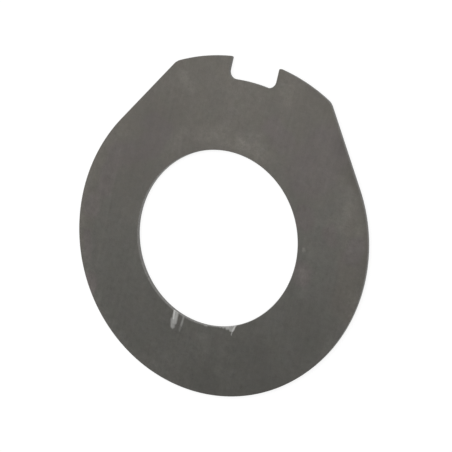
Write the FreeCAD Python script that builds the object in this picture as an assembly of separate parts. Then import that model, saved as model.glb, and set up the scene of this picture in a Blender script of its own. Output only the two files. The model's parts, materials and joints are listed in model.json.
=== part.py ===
"""A keyed metal spacer: a flat round plate with a large bore, and one notched lobe on its rim.

The plate lies flat on z = 0, with the bore on the Z axis and the lobe and its notch towards +Y.
Everything is in millimetres and degrees. Angles in the plane count clockwise from +Y.
"""

import FreeCAD, Part
import math
import os

# Driving dimensions
RIM_DIAMETER = 126.0
BORE_DIAMETER = 70.0
THICKNESS = 2.0
LOBE_RISE = 8.6  # from the rim's circle out to the lobe's arc
FLANK_ANGLE = 56.0  # from the notch's centre line to where a flank leaves the rim
LOBE_CORNER_RADIUS = 6.0  # between the lobe's arc and a flank
NOTCH_WIDTH = 20.3
NOTCH_FLOOR_RADIUS = 3.0  # between the notch's floor and its side walls
NOTCH_MOUTH_RADIUS = 0.6  # between the notch's side walls and the lobe's arc
UPPER_ROLLOVER = 0.15  # soft edge that blanking leaves round the upper face
LOWER_EDGE_BREAK = 0.1  # deburred edge round the lower face

# Sizes that follow from them
RIM_RADIUS = RIM_DIAMETER / 2
BORE_RADIUS = BORE_DIAMETER / 2
LOBE_RADIUS = RIM_RADIUS + LOBE_RISE
NOTCH_HALF_WIDTH = NOTCH_WIDTH / 2

UP = FreeCAD.Vector(0, 0, 1)
CENTRE = FreeCAD.Vector(0, 0, 0)
ACROSS = FreeCAD.Vector(1, 0, 0)
HALF_TURN = 180.0


def polar(radius, angle):
    """The point at a distance from the bore's axis, in a direction counted from +Y."""
    turn = math.radians(angle)
    return FreeCAD.Vector(radius * math.sin(turn), radius * math.cos(turn), 0)


def beside_notch(distance, x):
    """The point on the lobe's side of the bore at that distance from its axis, and at that x."""
    return FreeCAD.Vector(x, math.sqrt(distance**2 - x**2), 0)


def pushed_out(point, distance):
    """The point moved straight away from the bore's axis, or towards it if the distance is negative."""
    return point + FreeCAD.Vector(point).normalize() * distance


def line(start, end):
    return Part.LineSegment(start, end).toShape()


def round_corner(centre, radius, start, end):
    """The short arc of a rounded corner, from one tangent point to the other."""
    middle = (start - centre) + (end - centre)
    return Part.Arc(start, centre + middle.normalize() * radius, end).toShape()


def arc_about_bore(radius, from_angle, to_angle):
    """An arc about the bore's axis, clockwise from one direction to the other."""
    start = polar(radius, from_angle)
    middle = polar(radius, (from_angle + to_angle) / 2)
    return Part.Arc(start, middle, polar(radius, to_angle)).toShape()


def direction(point):
    """The angle of a point from +Y, clockwise."""
    return math.degrees(math.atan2(point.x, point.y))


def notch_side():
    """One side of the notch, from its floor to the lobe's arc. Gives its edges and its two ends."""
    floor_centre = beside_notch(RIM_RADIUS + NOTCH_FLOOR_RADIUS, NOTCH_HALF_WIDTH - NOTCH_FLOOR_RADIUS)
    floor_end = pushed_out(floor_centre, -NOTCH_FLOOR_RADIUS)
    wall_foot = floor_centre + ACROSS * NOTCH_FLOOR_RADIUS
    mouth_centre = beside_notch(LOBE_RADIUS - NOTCH_MOUTH_RADIUS, NOTCH_HALF_WIDTH + NOTCH_MOUTH_RADIUS)
    wall_head = mouth_centre - ACROSS * NOTCH_MOUTH_RADIUS
    lobe_start = pushed_out(mouth_centre, NOTCH_MOUTH_RADIUS)
    edges = [
        round_corner(floor_centre, NOTCH_FLOOR_RADIUS, floor_end, wall_foot),
        line(wall_foot, wall_head),
        round_corner(mouth_centre, NOTCH_MOUTH_RADIUS, wall_head, lobe_start),
    ]
    return edges, floor_end, lobe_start


def lobe_side(lobe_start):
    """The lobe's arc on one side of the notch, its corner, and the flank down to the rim."""
    inner_radius = LOBE_RADIUS - LOBE_CORNER_RADIUS
    corner_turn = math.degrees(math.acos((RIM_RADIUS - LOBE_CORNER_RADIUS) / inner_radius))
    corner_angle = FLANK_ANGLE - corner_turn
    corner_centre = polar(inner_radius, corner_angle)
    corner_end = corner_centre + polar(LOBE_CORNER_RADIUS, FLANK_ANGLE)
    return [
        arc_about_bore(LOBE_RADIUS, direction(lobe_start), corner_angle),
        round_corner(corner_centre, LOBE_CORNER_RADIUS, polar(LOBE_RADIUS, corner_angle), corner_end),
        line(corner_end, polar(RIM_RADIUS, FLANK_ANGLE)),
    ]


def outline():
    """The plate's outer edge: rim, two flanks, the lobe's arc, and the notch with its floor on the rim's circle."""
    notch_edges, floor_end, lobe_start = notch_side()
    right = notch_edges + lobe_side(lobe_start)
    left = [edge.mirror(CENTRE, ACROSS) for edge in right]
    floor_half_angle = direction(floor_end)
    floor = arc_about_bore(RIM_RADIUS, -floor_half_angle, floor_half_angle)
    rim = arc_about_bore(RIM_RADIUS, FLANK_ANGLE, 2 * HALF_TURN - FLANK_ANGLE)
    return Part.Wire(Part.sortEdges(right + left + [floor, rim])[0])


def blank():
    """The plate as it is cut from sheet, with sharp edges."""
    bore = Part.Wire(Part.Circle(CENTRE, UP, BORE_RADIUS).toShape())
    face = Part.makeFace([outline(), bore], "Part::FaceMakerBullseye")
    return face.extrude(UP * THICKNESS)


def edges_at(solid, height):
    """The edges that lie flat at that height."""
    tolerance = 1e-6
    return [
        edge
        for edge in solid.Edges
        if abs(edge.BoundBox.ZMin - height) < tolerance and abs(edge.BoundBox.ZMax - height) < tolerance
    ]


def spacer_plate():
    """The finished plate: rounded all round its upper face, and deburred all round its lower one."""
    plate = blank()
    plate = plate.makeFillet(UPPER_ROLLOVER, edges_at(plate, THICKNESS))
    return plate.makeChamfer(LOWER_EDGE_BREAK, edges_at(plate, 0))


os.makedirs("parts", exist_ok=True)
spacer_plate().exportStep("parts/spacer_plate.step")
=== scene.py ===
import json
import math

import bmesh
import bpy
from mathutils import Matrix, Vector, noise
from mathutils.geometry import delaunay_2d_cdt
from mathutils.kdtree import KDTree


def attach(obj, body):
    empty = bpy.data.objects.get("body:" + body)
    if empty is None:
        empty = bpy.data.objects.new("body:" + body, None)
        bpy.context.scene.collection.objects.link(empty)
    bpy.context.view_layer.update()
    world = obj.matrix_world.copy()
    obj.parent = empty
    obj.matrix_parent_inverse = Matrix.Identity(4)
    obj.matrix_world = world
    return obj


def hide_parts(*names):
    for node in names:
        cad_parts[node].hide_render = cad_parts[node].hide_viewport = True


# A dark steel spacer plate lying on a white studio floor, seen from above.
# Lengths are in metres in the frame of the solid model: the plate lies on z = 0, the bore is on the
# Z axis, and the lobe and its notch point along +Y. Angles in the plane count clockwise from +Y.

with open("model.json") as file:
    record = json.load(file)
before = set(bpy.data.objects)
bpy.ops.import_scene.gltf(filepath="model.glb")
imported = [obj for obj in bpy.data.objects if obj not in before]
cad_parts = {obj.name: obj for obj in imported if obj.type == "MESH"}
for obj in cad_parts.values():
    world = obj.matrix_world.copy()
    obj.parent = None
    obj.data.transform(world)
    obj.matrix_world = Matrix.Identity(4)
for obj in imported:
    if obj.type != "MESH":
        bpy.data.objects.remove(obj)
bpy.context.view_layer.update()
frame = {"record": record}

MM = 0.001
NODE = "spacer_plate"

# Sizes of the plate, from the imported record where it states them
mounts = {mount["name"]: mount for mount in frame["record"]["mounts"]}
BORE_RADIUS = mounts["bore"]["dims"]["r_mm"] * MM
RIM_RADIUS = mounts["key_notch"]["pos_m"][1]
THICKNESS = mounts["upper_face"]["pos_m"][2]
LOBE_RISE = 8.6 * MM
LOBE_RADIUS = RIM_RADIUS + LOBE_RISE
FLANK_ANGLE = math.radians(56.0)
LOBE_CORNER = 6.0 * MM
NOTCH_HALF_WIDTH = 10.15 * MM
FLOOR_CORNER = 3.0 * MM
MOUTH_CORNER = 0.6 * MM
ROLLOVER = 0.15 * MM
EDGE_BREAK = 0.1 * MM

# How the cut wall is built up, below the rolled edge
SHEARED_DOWN_TO = 1.05 * MM  # smooth band above this height, torn band below it
TORN_STEP = 0.015 * MM  # how far the torn band starts inside the smooth one
TORN_TAPER = 0.03 * MM  # how much further in it is at its foot
TORN_ROUGHNESS = 0.022 * MM  # depth of its deepest pits
TORN_MEAN = 0.5  # their mean depth, as a share of that
TORN_STREAKS = (1.7, 0.9, 0.55)  # waves per millimetre along the wall and up it, and their strength
TORN_GRAIN = (4.1, 3.3, 0.35)  # the same for finer pits
BREAK_MIDDLE = 0.3  # the lower edge's break halfway down: its inset, height and roughness, as shares
BORE_WEAR = 1.0  # how bare the wall of the bore is, and below it the outer wall
OUTER_WEAR = 0.4
HEAD_WEAR = 0.6  # the share of that at the head of the rolled edge

# The outer edge was drawn down a little when the plate was cut, over a band as wide as this
DRAW_WIDTH = 5.0 * MM
DRAW_DEPTH = 0.03 * MM

# Mesh spacing
EDGE_STEP = 0.45 * MM
CORNER_SEGMENTS = 10
ROLLOVER_SEGMENTS = 6
SHEARED_ROWS = 3
TORN_ROWS = 7
FACE_STEP = 1.1 * MM
FACE_MARGIN = 1.0 * MM  # clear band between the edge and the points inside a face
EDGE_RING = 0.35 * MM  # how far in from the edge a face has a ring of its own
ONLY_INSIDE = 1  # the kind of triangulation that leaves out what lies beyond the outer border
SAME_POINT = 1e-6
LAYERS = ("bare", "edge_distance", "tone", "reddish", "warm")  # what the mesh tells the material

# Marks on the upper face, in millimetres: start, end, reach, and how much lighter (+) or darker (-)
MARKS = (
    # worn lighter round the top of the bore, in ragged patches
    ((-26, 31), (-23, 37), 5.0, 0.08),
    ((-20, 38), (-12, 38), 5.5, 0.055),
    ((-9, 39), (9, 39), 7.5, 0.15),
    ((9, 38), (14, 36), 5.0, 0.055),
    ((-6, 46), (-4, 52), 8.0, 0.05),
    ((-6, 37), (-4, 38), 3.0, 0.09),
    ((1, 39), (5, 39), 3.0, 0.08),
    ((-12.5, 41), (-12, 43), 2.6, -0.08),
    ((-3, 41.5), (-2, 39.5), 2.2, -0.1),
    ((11, 42), (13, 43), 3.0, -0.07),
    ((-21, 35.5), (-20, 36), 2.4, -0.06),
    ((-10, 36.5), (-8, 36.6), 2.4, -0.1),
    ((-14, 43), (-15.5, 37.5), 2.8, 0.08),
    ((-17.5, 36), (-16.5, 35), 2.2, 0.07),
    ((2.5, 39.2), (4.5, 38.2), 2.4, 0.09),
    ((-0.5, 44), (1, 41), 2.2, 0.06),
    ((6, 44), (8, 42.8), 2.4, 0.06),
    ((6.5, 40.8), (8.5, 40.8), 1.8, -0.05),
    ((-4, 60), (4, 58), 10.0, 0.03),
    ((-12, 60), (18, 62), 14.0, 0.02),
    # rubbed patches by the right rim and on the lobe
    ((-28.5, 58), (-25, 55), 4.5, 0.14),
    ((14, 69), (16, 61), 5.0, 0.07),
    ((50.5, 33), (50.5, 23), 5.0, 0.13),
    ((44, 20), (50, 20.5), 5.0, 0.09),
    ((51.5, 16), (53.5, 13), 4.5, 0.06),
    ((57, 22), (59, 14), 4.0, 0.06),
    ((43.5, 37), (45, 35), 5.0, 0.03),
    ((60.5, -3), (60.5, -6), 3.0, 0.09),
    ((12.5, 66), (13.5, 61), 3.0, 0.05),
    ((21, 68), (17, 66), 3.0, 0.06),
    ((44.5, 44), (46.8, 41.5), 2.6, 0.12),
    ((53, 15), (55, 13), 3.0, 0.07),
    ((47, 29), (50, 26), 3.0, 0.05),
    ((55, 24), (56, 20), 2.5, 0.06),
    ((-29, 58.5), (-28, 58), 2.0, 0.1),
    ((54, 22), (57, 10), 7.0, 0.025),
    ((-27.5, 55), (-26.5, 53), 2.4, -0.05),
    ((-22.5, 54), (-22.5, 51), 2.4, -0.05),
    # spots by the right of the bore
    ((38.6, -1.5), (39, -2.5), 3.6, 0.2),
    ((39.5, -5), (40.5, -10), 3.0, 0.09),
    ((39, 8), (40, -6), 8.0, 0.025),
    # darker film on the left shoulder and the lower right, and painted shade along the right flank's edge
    ((-42, 41), (-29, 43), 9.0, -0.055),
    ((-36, 36), (-42, 10), 11.0, -0.065),
    ((24, 60), (28, 48), 12.0, -0.04),
    # these two along the right flank's edge are painted shade, darker as the rim's shaded side is
    ((41, 49), (46, 43), 6.0, -0.1),
    ((46, 43), (51.5, 35), 3.5, -0.1),
    ((32, 22), (28, 28), 7.0, -0.05),
    ((42, -16), (45, -30), 14.0, -0.06),
    ((26, -40), (33, -46), 12.0, -0.08),
    ((8, -54), (14, -56), 10.0, -0.08),
    ((-24, -50), (-18, -54), 5.0, -0.04),
    ((-46, 21), (-48, 26), 4.5, -0.045),
    ((-58, 24), (-56, 29), 3.0, -0.06),
    ((10, 57), (13, 53), 3.5, -0.05),
    ((41, 41), (42, 40), 2.4, -0.06),
    ((59.5, -16), (58.5, -20), 2.4, -0.06),
    ((-34, -52), (-20, -58.5), 2.6, -0.04),
    ((-16, -60.5), (14, -60.5), 3.4, -0.045),
    ((24, -30), (36, -46), 12.0, -0.02),
    ((28, -56), (34, -52), 7.0, -0.03),
    ((-34, 12), (-33, 18), 5.0, -0.03),
    # faint runs and rubbed spots under the bore and on the left
    ((3.5, -39), (6, -43), 4.5, 0.09),
    ((14, -50), (18.5, -56), 3.0, 0.09),
    ((-8, -53), (-5, -50), 6.0, 0.05),
    ((-18, -57.5), (-4, -60), 3.5, 0.07),
    ((-33, -18), (-29, -27), 4.5, 0.03),
    ((-54, -23), (-45, -37), 7.0, 0.06),
    ((-56, 26), (-50, 31), 5.0, 0.05),
    ((-55, -24), (-54, 6), 2.8, 0.05),
    ((-57, 16), (-57.5, 8), 3.0, 0.05),
    ((-57, 0), (-57, -7), 3.6, 0.06),
    ((-53.5, -30), (-50, -37), 3.0, 0.12),
    ((18.5, -52.5), (20, -50), 3.0, 0.06),
    ((14, -42), (18, -45), 3.0, 0.05),
    ((1.5, -46), (5, -49), 3.0, 0.05),
    ((-15, -52), (-8, -54), 4.0, 0.05),
    ((-28, -50), (-30, -52), 3.0, 0.04),
    ((-36, 44), (-36, 39), 5.0, 0.03),
    ((-6, -46), (6, -44), 8.0, 0.03),
    ((-14, -58), (4, -54), 8.0, 0.02),
)
# The same for marks too fine for the mesh: lines that run with the grain, and one speck
FINE_MARKS = (
    ((-49.6, -28), (-49.9, 24), 1.0, 0.05),
    ((39.6, 2), (39.2, 38), 0.9, 0.04),
    ((36.9, 7.3), (37, 6.9), 1.2, 0.5),
)
# Where the film has a reddish cast: start, end and reach
REDDISH = (
    ((36, 46), (32, 36), 13.0),
    ((13, 49), (20, 44), 5.5),
    ((-38, 37), (-32, 36), 5.0),
    ((-34, 35), (-36, 28), 6.0),
    ((-36, 28), (-50, 20), 6.5),
    ((-52, 22), (-53.5, 5), 4.5),
    ((-57, -2), (-57.5, -4), 5.0),
    ((-57, -15), (-55, -24), 2.8),
    ((-51, -33), (-50, -36), 3.5),
    ((34, 20), (34, 17), 5.0),
    ((39, -1), (39, -4), 5.0),
    ((57, 14), (56, 11), 5.0),
    ((45, 17), (47, 14), 3.5),
)
# Where it is warmer than elsewhere: the same
WARM = (
    ((56, 26), (59, -8), 8.5),
    ((-59, 24), (-61, -16), 7.0),
    ((-47, 33), (-50, 25), 6.5),
)
DRIFT_WAVES = (3.2, 5.5)  # noise shifts the edges of the marks: its wavelengths across and along the grain
MARK_DRIFT = 1.1  # how far it shifts them across the grain, in millimetres
DRIFT_STRETCH = 1.5  # and along it, as a multiple of that
DRIFT_SEED = 3  # keeps that noise the same in each run
CAST_FADE = 0.5  # the share of its reach over which a cast fades out

# Colours are linear. The film's tints are multiplied by its level
# The warm tint colours the warm patches and also the painted warm light towards one side; the cool tint is
# the film away from that side
FILM_AND_LIGHT_WARM = (1.062, 0.997, 0.894)
FILM_COOL = (1.030, 1.002, 0.914)
FILM_REDDISH = (1.078, 0.987, 0.932)
FILM_LEVEL = 0.1177
BARE_STEEL = (0.190, 0.185, 0.175)
SCUFFED_STEEL = (0.625, 0.625, 0.605, 1.0)

# The pale scuffs under the bore, in millimetres: start, end, half width, softness, and how bare
SCUFFS = (
    ((-10.3, -33.0), (-10.05, -36.8), 0.42, 0.3, 0.95),
    ((-9.45, -34.6), (-9.45, -38.0), 1.15, 0.5, 0.58),
    ((-10.15, -37.4), (-9.65, -39.9), 0.95, 0.5, 0.45),
    ((-5.75, -35.0), (-6.05, -38.4), 0.4, 0.35, 0.31),
    ((-6.1, -38.4), (-6.25, -40.6), 0.4, 0.4, 0.13),
    ((16.95, -30.2), (16.15, -33.2), 0.42, 0.25, 0.92),
    ((16.1, -33.2), (16.1, -34.9), 0.18, 0.2, 0.5),
    ((15.5, -31.4), (15.4, -32.7), 0.8, 0.4, 0.58),
    ((13.7, -32.7), (15.4, -31.9), 0.8, 0.4, 0.58),
    ((11.9, -33.0), (13.2, -32.6), 0.5, 0.35, 0.4),
    ((10.4, -33.4), (11.2, -33.2), 0.35, 0.3, 0.18),
    ((4.0, -34.9), (5.0, -34.8), 0.35, 0.3, 0.25),
)
RAGGED_REACH = (0.35, 1.2, 0.0)  # how far their edges are ragged across and along the grain
SCRATCHED = (0.75, 1.0)  # how bare they are between and on their own fine lines

# Along the rim the film is painted lighter on one side and darker on the other: painted light and shade, as
# the rim would catch light on one side and fall into shade on the other.
# Each row says towards where, from and up to how many millimetres that way, and how much lighter (+) or
# darker (-)
RIM_LIGHT_AND_SHADE_SIDES = (
    ((-0.82, -0.57), 15.0, 55.0, 0.19),
    ((0.71, 0.71), 38.0, 58.0, -0.09),
)
RIM_LIGHT_PATCH = ((54, -24), (58, -18), 26.0, 0.14)  # painted light there too: written as the marks are

# Noises of the surface. Wavelengths are in millimetres, and a stretch under 1 draws the noise out
MOTTLE = {"wavelength": 11.0, "detail": 5.0, "roughness": 0.95}
SPECKLE = {"wavelength": 2.2, "detail": 2.0, "roughness": 0.9}
LINES = {"wavelength": 1.1, "detail": 3.0, "roughness": 0.7, "stretch": (1.0, 0.07, 1.0)}
FINE = {"wavelength": 0.5, "detail": 3.0, "roughness": 0.6}
CAST = {"wavelength": 6.0, "detail": 4.0, "roughness": 0.75, "output": "Color"}
STREAKS = {"wavelength": 0.6, "detail": 3.0, "roughness": 0.6, "stretch": (1.0, 1.0, 0.25)}
RAGGED = {"wavelength": 0.5, "detail": 3.0, "roughness": 0.6, "stretch": (1.0, 0.3, 1.0), "output": "Color"}
SCRATCHES = {"wavelength": 0.45, "detail": 2.0, "roughness": 0.5, "stretch": (1.0, 0.12, 1.0)}
NOISE_MIDDLE = 0.5
NOISE_RANGE = (0.3, 0.7)  # what a noise mostly keeps to
FACE_SHIFT = 14.0  # stretches the film's noises in height, so that the two faces differ

# How the noises show
TONE_STRENGTHS = (0.5, 0.30, 0.17, 0.13)  # in the film's tone: mottle, speckle, lines and fine
UNEVEN = (0.5, 1.5)  # how strongly the marks show, from speckle to speckle
CAST_STRENGTH = 0.07
WARM_LIGHT_SIDE = (-0.268, 0.963, 0.0)  # the direction of the painted warm light: the film is tinted warmer that way
WARM_LIGHT_RANGE = (-12.0, 48.0)  # how far that way the painted warm light begins, and is warmest
WARM_LIGHT_DRIFT = 40.0  # how far the mottle shifts that
RIM_WARM_LIGHT = 30.0  # how much further that way the rim counts, so that it gets more of the painted warm light
STREAK_RANGE = (0.25, 0.75)  # the part of the streaks' noise that shows in the cut wall
STREAK_TONE = (0.8, 1.2)  # and how dark and how light it makes the wall
ROUGHNESS = (0.44, 0.52)
SCUFF_ROUGHNESS = 0.12  # how much rougher the scuffs are
LINES_RELIEF = 0.5  # how much of the relief the lines are, beside the fine noise
RELIEF_STRENGTH = 0.12
RELIEF_DEPTH = 0.02 * MM
METALLIC = 0.9
UPPER_BAND = (1.55, 1.65)  # the heights between which the upper face's marks set in


def compass(angle):
    """The unit vector in the plane at that angle, clockwise from +Y."""
    return Vector((math.sin(angle), math.cos(angle)))


def bearing(point):
    return math.atan2(point.x, point.y)


def arc(centre, radius, start, end, outward=1):
    """Points on an arc with the normal that points out of the metal, without the arc's last point."""
    count = max(CORNER_SEGMENTS, math.ceil(radius * abs(end - start) / EDGE_STEP))
    found = []
    for i in range(count):
        direction = compass(start + (end - start) * i / count)
        found.append((centre + direction * radius, direction * outward))
    return found


def straight(start, end, normal):
    """Points on a line with its normal, without the line's last point."""
    count = max(2, math.ceil((end - start).length / EDGE_STEP))
    return [(start.lerp(end, i / count), normal.copy()) for i in range(count)]


def outer_loop():
    """The plate's outer edge, clockwise from the middle of the notch's floor, as points with normals."""
    middle = Vector((0, 0))
    floor_x = NOTCH_HALF_WIDTH - FLOOR_CORNER
    floor_centre = Vector((floor_x, math.sqrt((RIM_RADIUS + FLOOR_CORNER) ** 2 - floor_x**2)))
    mouth_x = NOTCH_HALF_WIDTH + MOUTH_CORNER
    mouth_centre = Vector((mouth_x, math.sqrt((LOBE_RADIUS - MOUTH_CORNER) ** 2 - mouth_x**2)))
    inner = LOBE_RADIUS - LOBE_CORNER
    corner_angle = FLANK_ANGLE - math.acos((RIM_RADIUS - LOBE_CORNER) / inner)
    corner_centre = compass(corner_angle) * inner
    floor_end, lobe_start = bearing(floor_centre), bearing(mouth_centre)
    quarter = math.pi / 2
    wall_foot = floor_centre + Vector((FLOOR_CORNER, 0))
    wall_head = mouth_centre - Vector((MOUTH_CORNER, 0))
    flank_head = corner_centre + compass(FLANK_ANGLE) * LOBE_CORNER
    half = (
        arc(middle, RIM_RADIUS, 0, floor_end)
        + arc(floor_centre, FLOOR_CORNER, floor_end + math.pi, quarter, -1)
        + straight(wall_foot, wall_head, Vector((-1, 0)))
        + arc(mouth_centre, MOUTH_CORNER, -quarter, lobe_start)
        + arc(middle, LOBE_RADIUS, lobe_start, corner_angle)
        + arc(corner_centre, LOBE_CORNER, corner_angle, FLANK_ANGLE)
        + straight(flank_head, compass(FLANK_ANGLE) * RIM_RADIUS, compass(FLANK_ANGLE))
        + arc(middle, RIM_RADIUS, FLANK_ANGLE, math.pi)
    )
    bottom = [(Vector((0, -RIM_RADIUS)), Vector((0, -1)))]
    mirrored = [(Vector((-p.x, p.y)), Vector((-n.x, n.y))) for p, n in reversed(half[1:])]
    return half + bottom + mirrored


def bore_loop():
    return arc(Vector((0, 0)), BORE_RADIUS, 0, 2 * math.pi, -1)


def drawn_down(inset):
    """How far the upper face lies under its level at that distance from the outer edge."""
    return DRAW_DEPTH * max(0.0, 1 - inset / DRAW_WIDTH) ** 2


def wall_profile(drawn):
    """The wall's section from the upper face to the lower one: (inset, height, how rough, how bare)."""
    level = THICKNESS - drawn * drawn_down(EDGE_RING)
    worn = OUTER_WEAR if drawn else BORE_WEAR
    rows = [(EDGE_RING, level, 0.0, 0.0)]
    for i in range(ROLLOVER_SEGMENTS + 1):
        turn = math.pi / 2 * i / ROLLOVER_SEGMENTS
        inset = ROLLOVER * (1 - math.sin(turn))
        level = THICKNESS - drawn * drawn_down(inset) - ROLLOVER * (1 - math.cos(turn))
        rows.append((inset, level, 0.0, worn if i else worn * HEAD_WEAR))
    head = rows[-1][1]
    for i in range(1, SHEARED_ROWS + 1):
        rows.append((0.0, head + (SHEARED_DOWN_TO - head) * i / SHEARED_ROWS, 0.0, worn))
    for i in range(TORN_ROWS + 1):
        share = i / TORN_ROWS
        height = SHEARED_DOWN_TO - TORN_STEP + (EDGE_BREAK - SHEARED_DOWN_TO + TORN_STEP) * share
        rows.append((TORN_STEP + TORN_TAPER * share, height, 1.0, worn))
    foot = TORN_STEP + TORN_TAPER
    rows.append((foot + EDGE_BREAK * BREAK_MIDDLE, EDGE_BREAK * BREAK_MIDDLE, BREAK_MIDDLE, worn))
    rows.append((foot + EDGE_BREAK, 0.0, 0.0, 0.0))
    rows.append((EDGE_RING, 0.0, 0.0, 0.0))
    return rows


def torn_depth(point, height):
    """How deep the torn band is pitted there: streaks that run down the wall, from 0 to 1."""
    depth = TORN_MEAN
    for along, up, strength in (TORN_STREAKS, TORN_GRAIN):
        place = Vector((point.x / MM * along, point.y / MM * along, height / MM * up))
        depth += strength * noise.noise(place)
    return min(1.0, max(0.0, depth))


def smooth(share):
    share = min(1.0, max(0.0, share))
    return share * share * (3 - 2 * share)


def nearness(place, start, end, reach):
    """1 on the line between two points, 0 at that reach from it, and less than 0 beyond."""
    start, run = Vector(start), Vector(end) - Vector(start)
    share = min(1.0, max(0.0, (place - start).dot(run) / run.length_squared))
    return 1 - (place - start - run * share).length / reach


def film_marks(place):
    """The film at a place of the upper face: how much lighter or darker, how reddish and how warm."""
    place = place / MM
    across, along = DRIFT_WAVES
    drift = noise.noise_vector(Vector((place.x / across, place.y / along, 0.0)))
    place = place + Vector((drift.x * MARK_DRIFT, drift.y * MARK_DRIFT * DRIFT_STRETCH))
    tone = sum(strength * smooth(nearness(place, *line)) for *line, strength in MARKS)
    reddish, warm = (
        max(smooth(nearness(place, *line) / CAST_FADE) for line in table) for table in (REDDISH, WARM)
    )
    return tone, reddish, warm


def add_film(vertex, place, layers):
    """Sets the film's values at one vertex of the upper face."""
    vertex[layers["tone"]], vertex[layers["reddish"]], vertex[layers["warm"]] = film_marks(place)


def add_wall(mesh, loop, drawn, layers):
    """Adds the wall round one loop. Gives its first and last ring of vertices."""
    rings = []
    for inset, height, rough, bareness in wall_profile(drawn):
        ring = []
        for point, normal in loop:
            depth = inset + rough * TORN_ROUGHNESS * torn_depth(point, height)
            place = point - normal * depth
            vertex = mesh.verts.new((place.x, place.y, height))
            vertex[layers["bare"]] = bareness
            vertex[layers["edge_distance"]] = inset / MM if drawn else DRAW_WIDTH / MM
            if height > THICKNESS / 2:
                add_film(vertex, place, layers)
            ring.append(vertex)
        rings.append(ring)
    for upper, lower in zip(rings, rings[1:]):
        for i in range(len(loop)):
            j = (i + 1) % len(loop)
            mesh.faces.new((upper[i], upper[j], lower[j], lower[i]))
    return rings[0], rings[-1]


def points_inside(outer, bore):
    """A grid of points in the metal, clear of both loops, each with its distance from the outer one."""
    edge = outer + bore
    tree = KDTree(len(edge))
    for i, (point, _normal) in enumerate(edge):
        tree.insert(point.to_3d(), i)
    tree.balance()
    row_step = FACE_STEP * math.sqrt(3) / 2
    reach = LOBE_RADIUS
    found = []
    for row in range(-math.ceil(reach / row_step), math.ceil(reach / row_step) + 1):
        shift = FACE_STEP / 2 if row % 2 else 0.0
        for column in range(-math.ceil(reach / FACE_STEP), math.ceil(reach / FACE_STEP) + 1):
            spot = Vector((column * FACE_STEP + shift, row * row_step))
            _place, index, distance = tree.find(spot.to_3d())
            point, normal = edge[index]
            if distance > FACE_MARGIN and (spot - point).dot(normal) < 0:
                found.append((spot, distance if index < len(outer) else DRAW_WIDTH))
    return found


def add_face(mesh, outer_ring, bore_ring, inside, height, drawn, layers):
    """Fills a face between its two rings with even triangles."""
    ring = outer_ring + bore_ring
    flat = [Vector((v.co.x, v.co.y)) / MM for v in ring] + [p / MM for p, _distance in inside]
    count, hole = len(outer_ring), len(bore_ring)
    borders = [(i, (i + 1) % count) for i in range(count)]
    borders += [(count + i, count + (i + 1) % hole) for i in range(hole)]
    triangles, origins = delaunay_2d_cdt(flat, borders, [], ONLY_INSIDE, SAME_POINT)[2:4]
    vertices = list(ring)
    for place, distance in inside:
        vertex = mesh.verts.new((place.x, place.y, height - drawn * drawn_down(distance)))
        vertex[layers["edge_distance"]] = min(distance, DRAW_WIDTH) / MM
        if height > THICKNESS / 2:
            add_film(vertex, place, layers)
        vertices.append(vertex)
    for triangle in triangles:
        corners = [origins[i][0] for i in triangle]
        in_bore = all(count <= corner < count + hole for corner in corners)
        if not in_bore:
            mesh.faces.new([vertices[corner] for corner in corners])


def plate_mesh():
    noise.seed_set(DRIFT_SEED)
    mesh = bmesh.new()
    layers = {name: mesh.verts.layers.float.new(name) for name in LAYERS}
    outer, bore = outer_loop(), bore_loop()
    outer_top, outer_foot = add_wall(mesh, outer, 1.0, layers)
    bore_top, bore_foot = add_wall(mesh, bore, 0.0, layers)
    inside = points_inside(outer, bore)
    add_face(mesh, outer_top, bore_top, inside, THICKNESS, 1.0, layers)
    add_face(mesh, outer_foot, bore_foot, inside, 0.0, 0.0, layers)
    bmesh.ops.recalc_face_normals(mesh, faces=mesh.faces)
    for face in mesh.faces:
        face.smooth = True
    data = bpy.data.meshes.new("plate")
    mesh.to_mesh(data)
    mesh.free()
    return data


# The sockets of a mix of each kind: its two inputs and its output
MIX_SOCKETS = {"VECTOR": (4, 5, 1), "RGBA": (6, 7, 2)}


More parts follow.
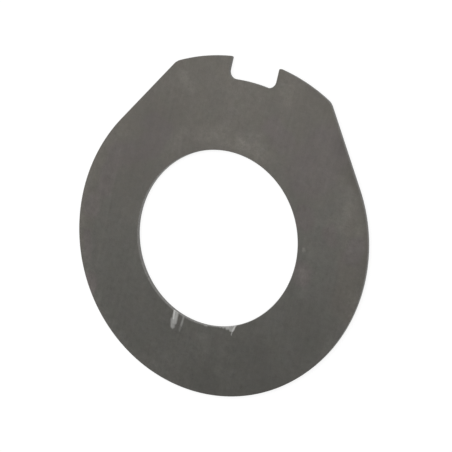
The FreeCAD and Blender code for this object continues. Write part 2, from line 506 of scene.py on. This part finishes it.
class Graph:
    """Short calls for the nodes of one material or world."""

    def __init__(self, owner):
        self.owner = owner
        owner.use_nodes = True
        self.nodes = owner.node_tree.nodes
        self.links = owner.node_tree.links
        self.nodes.clear()

    def add(self, kind, settings=None, **inputs):
        node = self.nodes.new(kind)
        for key, value in (settings or {}).items():
            setattr(node, key, value)
        for key, value in inputs.items():
            self.feed(node.inputs[key.replace("_", " ")], value)
        return node

    def feed(self, socket, value):
        if isinstance(value, bpy.types.NodeSocket):
            self.links.new(value, socket)
        else:
            socket.default_value = value

    def math(self, operation, *values, clamp=False):
        node = self.nodes.new("ShaderNodeMath")
        node.operation = operation
        node.use_clamp = clamp
        for socket, value in zip(node.inputs, values):
            self.feed(socket, value)
        return node.outputs[0]

    def vector(self, operation, a, b=None):
        node = self.nodes.new("ShaderNodeVectorMath")
        node.operation = operation
        self.feed(node.inputs[0], a)
        if b is not None:
            self.feed(node.inputs["Scale" if operation == "SCALE" else 1], b)
        return node.outputs["Value" if operation in ("DOT_PRODUCT", "LENGTH") else "Vector"]

    def ramp(self, value, low, high, to_low=0.0, to_high=1.0, eased=True):
        """Maps a value from low..high onto to_low..to_high, and holds it at those ends."""
        node = self.nodes.new("ShaderNodeMapRange")
        node.interpolation_type = "SMOOTHSTEP" if eased else "LINEAR"
        self.feed(node.inputs["Value"], value)
        node.inputs["From Min"].default_value = low
        node.inputs["From Max"].default_value = high
        node.inputs["To Min"].default_value = to_low
        node.inputs["To Max"].default_value = to_high
        return node.outputs["Result"]

    def noise(self, place, wavelength, detail, roughness, stretch=None, output="Fac"):
        """Noise from 0 to 1 over a place that counts millimetres."""
        if stretch:
            place = self.vector("MULTIPLY", place, stretch)
        inputs = {"Scale": 1 / wavelength, "Detail": detail, "Roughness": roughness}
        return self.add("ShaderNodeTexNoise", None, Vector=place, **inputs).outputs[output]

    def mix(self, kind, share, a, b):
        """One value that shades into another as the share goes from 0 to 1."""
        first, second, result = MIX_SOCKETS[kind]
        node = self.add("ShaderNodeMix", {"data_type": kind})
        self.feed(node.inputs[0], share)
        self.feed(node.inputs[first], a)
        self.feed(node.inputs[second], b)
        return node.outputs[result]

    def distance(self, place, start, end):
        """The distance from a place to a line between two points of the plane."""
        run = Vector(end) - Vector(start)
        offset = self.vector("SUBTRACT", place, (*start, 0.0))
        share = self.vector("DOT_PRODUCT", offset, (*(run / run.length_squared), 0.0))
        share = self.math("ADD", share, 0.0, clamp=True)
        nearest = self.vector("SCALE", (*run, 0.0), share)
        return self.vector("LENGTH", self.vector("SUBTRACT", offset, nearest))

    def blur_mark(self, place, start, end, reach):
        """1 along a line, and smoothly down to 0 at that reach from it."""
        return self.ramp(self.distance(place, start, end), reach, 0.0)

    def stroke(self, place, start, end, radius, soft):
        """1 within a radius of a line, with an edge as soft as that."""
        return self.ramp(self.distance(place, start, end), radius + soft, radius - soft)


def scuffs(g, place):
    """How far the pale scuffs under the bore have taken the film off, from 0 to 1."""
    ragged = g.vector("SUBTRACT", g.noise(place, **RAGGED), (NOISE_MIDDLE,) * 3)
    place = g.vector("ADD", place, g.vector("MULTIPLY", ragged, RAGGED_REACH))
    total = 0.0
    for *stroke, strength in SCUFFS:
        total = g.math("MAXIMUM", g.math("MULTIPLY", g.stroke(place, *stroke), strength), total)
    return g.math("MULTIPLY", total, g.ramp(g.noise(place, **SCRATCHES), *NOISE_RANGE, *SCRATCHED))


def rim_light_and_shade(g, flat, edge):
    """How much lighter or darker the band along the rim is painted: painted light on one side, painted
    shade on the other.
    """
    *line, strength = RIM_LIGHT_PATCH
    tone = g.math("MULTIPLY", g.blur_mark(flat, *line), strength)
    for towards, low, high, strength in RIM_LIGHT_AND_SHADE_SIDES:
        side = g.vector("DOT_PRODUCT", flat, (*towards, 0.0))
        tone = g.math("ADD", tone, g.ramp(side, low, high, 0.0, strength))
    return g.math("MULTIPLY", tone, g.ramp(edge, DRAW_WIDTH / MM, 0.0, eased=False))


def film_tint_and_warm_light(g, spread, flat, edge, mottle, reddish, warm):
    """The film's tint: warmer towards one side and at the rim as painted warm light, warmer where marked,
    and reddish where marked.
    """
    side = g.vector("DOT_PRODUCT", flat, WARM_LIGHT_SIDE)
    side = g.math("MULTIPLY_ADD", g.math("SUBTRACT", mottle, NOISE_MIDDLE), WARM_LIGHT_DRIFT, side)
    side = g.math("MULTIPLY_ADD", g.ramp(edge, DRAW_WIDTH / MM, 0.0), RIM_WARM_LIGHT, side)
    tint = g.mix("VECTOR", g.ramp(side, *WARM_LIGHT_RANGE), FILM_COOL, FILM_AND_LIGHT_WARM)
    tint = g.mix("VECTOR", warm, tint, FILM_AND_LIGHT_WARM)
    tint = g.mix("VECTOR", reddish, tint, FILM_REDDISH)
    cast = g.vector("SUBTRACT", g.noise(spread, **CAST), (NOISE_MIDDLE,) * 3)
    return g.vector("ADD", tint, g.vector("SCALE", cast, CAST_STRENGTH))


def steel():
    """The plate's dull film, with barer metal on the cut walls and where it is scuffed."""
    g = Graph(bpy.data.materials.new("dull_steel"))
    place = g.vector("SCALE", g.add("ShaderNodeTexCoord").outputs["Object"], 1 / MM)
    height = g.add("ShaderNodeSeparateXYZ", None, Vector=place).outputs["Z"]
    upper = g.ramp(height, *UPPER_BAND)
    flat = g.vector("MULTIPLY", place, (1.0, 1.0, 0.0))
    spread = g.vector("MULTIPLY", place, (1.0, 1.0, FACE_SHIFT))
    bare, edge, tone, reddish, warm = (
        g.add("ShaderNodeAttribute", {"attribute_name": name}).outputs["Fac"] for name in LAYERS
    )
    mottle, speckle, lines, fine = (g.noise(spread, **kind) for kind in (MOTTLE, SPECKLE, LINES, FINE))

    marks = tone
    for *line, strength in FINE_MARKS:
        marks = g.math("ADD", marks, g.math("MULTIPLY", g.blur_mark(flat, *line), strength))
    # the band along the rim adds its painted light and shade to the marks
    marks = g.math("MULTIPLY", g.math("ADD", marks, rim_light_and_shade(g, flat, edge)), upper)

    level = g.math("MULTIPLY", marks, g.ramp(speckle, *NOISE_RANGE, *UNEVEN, eased=False))
    for pattern, strength in zip((mottle, speckle, lines, fine), TONE_STRENGTHS):
        level = g.math("MULTIPLY_ADD", g.math("SUBTRACT", pattern, NOISE_MIDDLE), strength, level)
    level = g.math("MULTIPLY", g.math("ADD", level, 1.0), FILM_LEVEL)
    film = g.vector("SCALE", film_tint_and_warm_light(g, spread, flat, edge, mottle, reddish, warm), level)

    scuffed = g.math("MULTIPLY", scuffs(g, flat), upper)
    streaks = g.ramp(g.noise(place, **STREAKS), *STREAK_RANGE, *STREAK_TONE, eased=False)
    wall = g.vector("SCALE", BARE_STEEL, streaks)
    colour = g.mix("RGBA", scuffed, g.mix("RGBA", bare, film, wall), SCUFFED_STEEL)

    roughness = g.ramp(mottle, *NOISE_RANGE, *ROUGHNESS, eased=False)
    roughness = g.math("MULTIPLY_ADD", scuffed, SCUFF_ROUGHNESS, roughness)
    relief = g.math("MULTIPLY_ADD", lines, LINES_RELIEF, fine)
    bump = g.add("ShaderNodeBump", None, Strength=RELIEF_STRENGTH, Distance=RELIEF_DEPTH, Height=relief)
    surface = g.add("ShaderNodeBsdfPrincipled", None, Metallic=METALLIC, Roughness=roughness)
    g.feed(surface.inputs["Base Color"], colour)
    g.feed(surface.inputs["Normal"], bump.outputs["Normal"])
    output = g.add("ShaderNodeOutputMaterial")
    g.links.new(surface.outputs[0], output.inputs["Surface"])
    return g.owner


def build_plate():
    plate = bpy.data.objects.new("plate", plate_mesh())
    bpy.context.scene.collection.objects.link(plate)
    plate.data.materials.append(steel())
    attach(plate, "root")
    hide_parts(NODE)


# The camera, as matched to the photograph
CAMERA_TARGET = Vector((3.358, 6.4, 0.0)) * MM + Vector((0, 0, THICKNESS))
CAMERA_DISTANCE = 461.8 * MM
CAMERA_TILT = math.radians(26.357)  # from straight above the plate
CAMERA_SIDE = math.radians(28.709)  # the side that it leans to, from +X towards +Y
CAMERA_ROLL = math.radians(15.559)
FOCAL_PIXELS = 1181.2
PHOTO_WIDTH = 452
SENSOR_MM = 36.0
CLIP_START = 0.01


def add_camera():
    data = bpy.data.cameras.new("camera")
    data.sensor_width = SENSOR_MM
    data.lens = SENSOR_MM * FOCAL_PIXELS / PHOTO_WIDTH
    data.clip_start = CLIP_START
    camera = bpy.data.objects.new("camera", data)
    bpy.context.scene.collection.objects.link(camera)
    lean = Matrix.Rotation(CAMERA_TILT, 3, Vector((-math.sin(CAMERA_SIDE), math.cos(CAMERA_SIDE), 0)))
    turn = lean @ Matrix.Rotation(CAMERA_ROLL, 3, "Z")
    place = CAMERA_TARGET + turn @ Vector((0, 0, CAMERA_DISTANCE))
    camera.matrix_world = Matrix.Translation(place) @ turn.to_4x4()
    bpy.context.scene.camera = camera


FLOOR_SIZE = 6.0
FLOOR_GAP = 0.02 * MM
FLOOR_COLOUR = (0.25, 0.25, 0.25, 1.0)
FLOOR_LIFT = 0.82  # keeps the floor white to the camera, with its shadow faint
WHITE = (1.0, 1.0, 1.0, 1.0)


def add_floor():
    mesh = bmesh.new()
    bmesh.ops.create_grid(mesh, x_segments=1, y_segments=1, size=FLOOR_SIZE / 2)
    data = bpy.data.meshes.new("floor")
    mesh.to_mesh(data)
    mesh.free()
    floor = bpy.data.objects.new("floor", data)
    floor.location.z = -FLOOR_GAP
    bpy.context.scene.collection.objects.link(floor)
    g = Graph(bpy.data.materials.new("white_floor"))
    matt = g.add("ShaderNodeBsdfDiffuse", None, Color=FLOOR_COLOUR)
    rays = g.add("ShaderNodeLightPath").outputs
    seen = g.math("MAXIMUM", rays["Is Camera Ray"], rays["Is Glossy Ray"])
    seen = g.math("MAXIMUM", seen, rays["Is Transmission Ray"])
    lift = g.math("MULTIPLY", seen, FLOOR_LIFT)
    glow = g.add("ShaderNodeEmission", None, Color=WHITE, Strength=lift)
    both = g.add("ShaderNodeAddShader")
    g.links.new(matt.outputs[0], both.inputs[0])
    g.links.new(glow.outputs[0], both.inputs[1])
    clear = g.add("ShaderNodeBsdfTransparent")
    sides = g.add("ShaderNodeMixShader", None, Fac=g.add("ShaderNodeNewGeometry").outputs["Backfacing"])
    g.links.new(both.outputs[0], sides.inputs[1])
    g.links.new(clear.outputs[0], sides.inputs[2])
    output = g.add("ShaderNodeOutputMaterial")
    g.links.new(sides.outputs[0], output.inputs["Surface"])
    data.materials.append(g.owner)


# The studio is white round the horizon and dimmer overhead. Heights are sines of the angle above it
WHITE_BELOW = 0.19
DIM_ABOVE = 0.35
DIM_LIGHT = 0.4


def add_world():
    world = bpy.data.worlds.new("studio")
    bpy.context.scene.world = world
    g = Graph(world)
    direction = g.add("ShaderNodeTexCoord").outputs["Generated"]
    height = g.math("ABSOLUTE", g.add("ShaderNodeSeparateXYZ", None, Vector=direction).outputs["Z"])
    strength = g.ramp(height, WHITE_BELOW, DIM_ABOVE, 1.0, DIM_LIGHT)
    backdrop = g.add("ShaderNodeBackground", None, Color=WHITE, Strength=strength)
    output = g.add("ShaderNodeOutputWorld")
    g.links.new(backdrop.outputs[0], output.inputs["Surface"])


# One large soft lamp that faces straight down, turned in the plane as the camera is rolled
PANEL_SIZE = (1.4, 0.8)
PANEL_WATTS = 4.5
PANEL_PLACE = Vector((-0.1, 0.3, 0.7))  # before that turn


def add_panel():
    data = bpy.data.lights.new("panel", "AREA")
    data.shape = "RECTANGLE"
    data.size, data.size_y = PANEL_SIZE
    data.energy = PANEL_WATTS
    panel = bpy.data.objects.new("panel", data)
    turn = Matrix.Rotation(CAMERA_ROLL, 3, "Z")
    panel.location = turn @ PANEL_PLACE
    panel.rotation_euler = (0, 0, CAMERA_ROLL)
    bpy.context.scene.collection.objects.link(panel)


build_plate()
add_floor()
add_camera()
add_world()
add_panel()
bpy.context.scene.view_settings.view_transform = "Standard"
